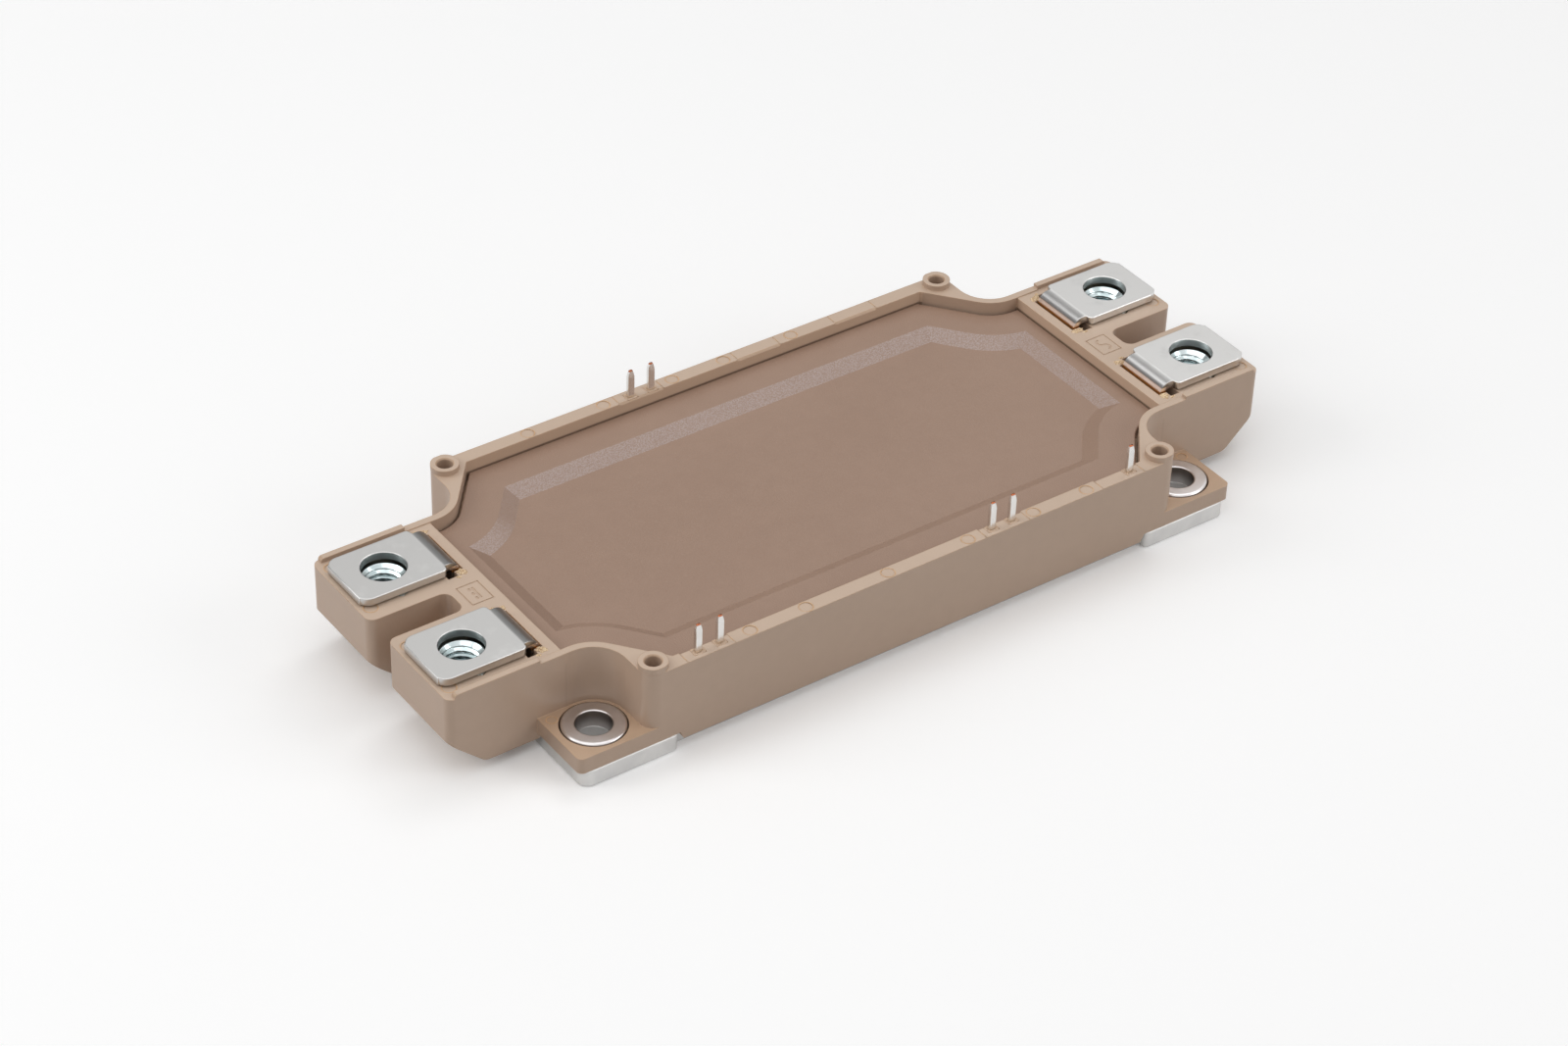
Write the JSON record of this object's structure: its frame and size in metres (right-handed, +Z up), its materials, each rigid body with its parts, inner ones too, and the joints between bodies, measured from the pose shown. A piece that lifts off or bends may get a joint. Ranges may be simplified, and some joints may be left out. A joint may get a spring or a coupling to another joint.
{
  "type": "insulated-gate transistor half-bridge module",
  "caption": "Flat power module: a moulded frame with a sunken lid on a copper base plate, screw terminals at both ends and upright signal pins along its rims.",
  "frame": {"origin": "centre of the underside of the base plate", "axes": "+X towards the phase end with its two joined terminals, +Y towards the rear rim with two signal pins, +Z up"},
  "size_m": [0.152, 0.0622, 0.0205],
  "materials": {
    "nickel_plate": "matt nickel plating on copper",
    "steel": "satin turned steel",
    "frame_plastic": "light tan moulded thermoplastic, slightly glossy",
    "lid_plastic": "brown moulded thermoplastic, matt",
    "adhesive": "cured silicone",
    "terminal_metal": "matt tin-plated copper",
    "zinc": "bright zinc coating",
    "pin_metal": "tin-plated copper alloy",
    "solder": "soft solder",
    "copper": "bare copper",
    "ceramic": "white aluminium oxide",
    "silicon": "metallised silicon",
    "aluminium": "bonded aluminium",
    "thermistor_body": "sintered ceramic",
    "gel": "clear silicone gel"
  },
  "bodies": {
    "root": {"base_plate": "nickel_plate", "bushings": "steel", "housing_frame": "frame_plastic", "lid": "lid_plastic", "frame_adhesive": "adhesive", "terminal_dc_minus": "terminal_metal", "terminal_dc_plus": "terminal_metal", "terminal_ac_front": "terminal_metal", "terminal_ac_rear": "terminal_metal", "terminal_nuts": "zinc", "signal_pins": "pin_metal", "substrate_solder": "solder", "substrate_back_copper": "copper", "substrate_ceramic": "ceramic", "substrate_tracks": "copper", "chip_solder": "solder", "igbt_chips": "silicon", "diode_chips": "silicon", "ribbon_bonds": "aluminium", "signal_bonds": "aluminium", "thermistor": "thermistor_body", "silicone_gel": "gel"}
  },
  "joints": []
}
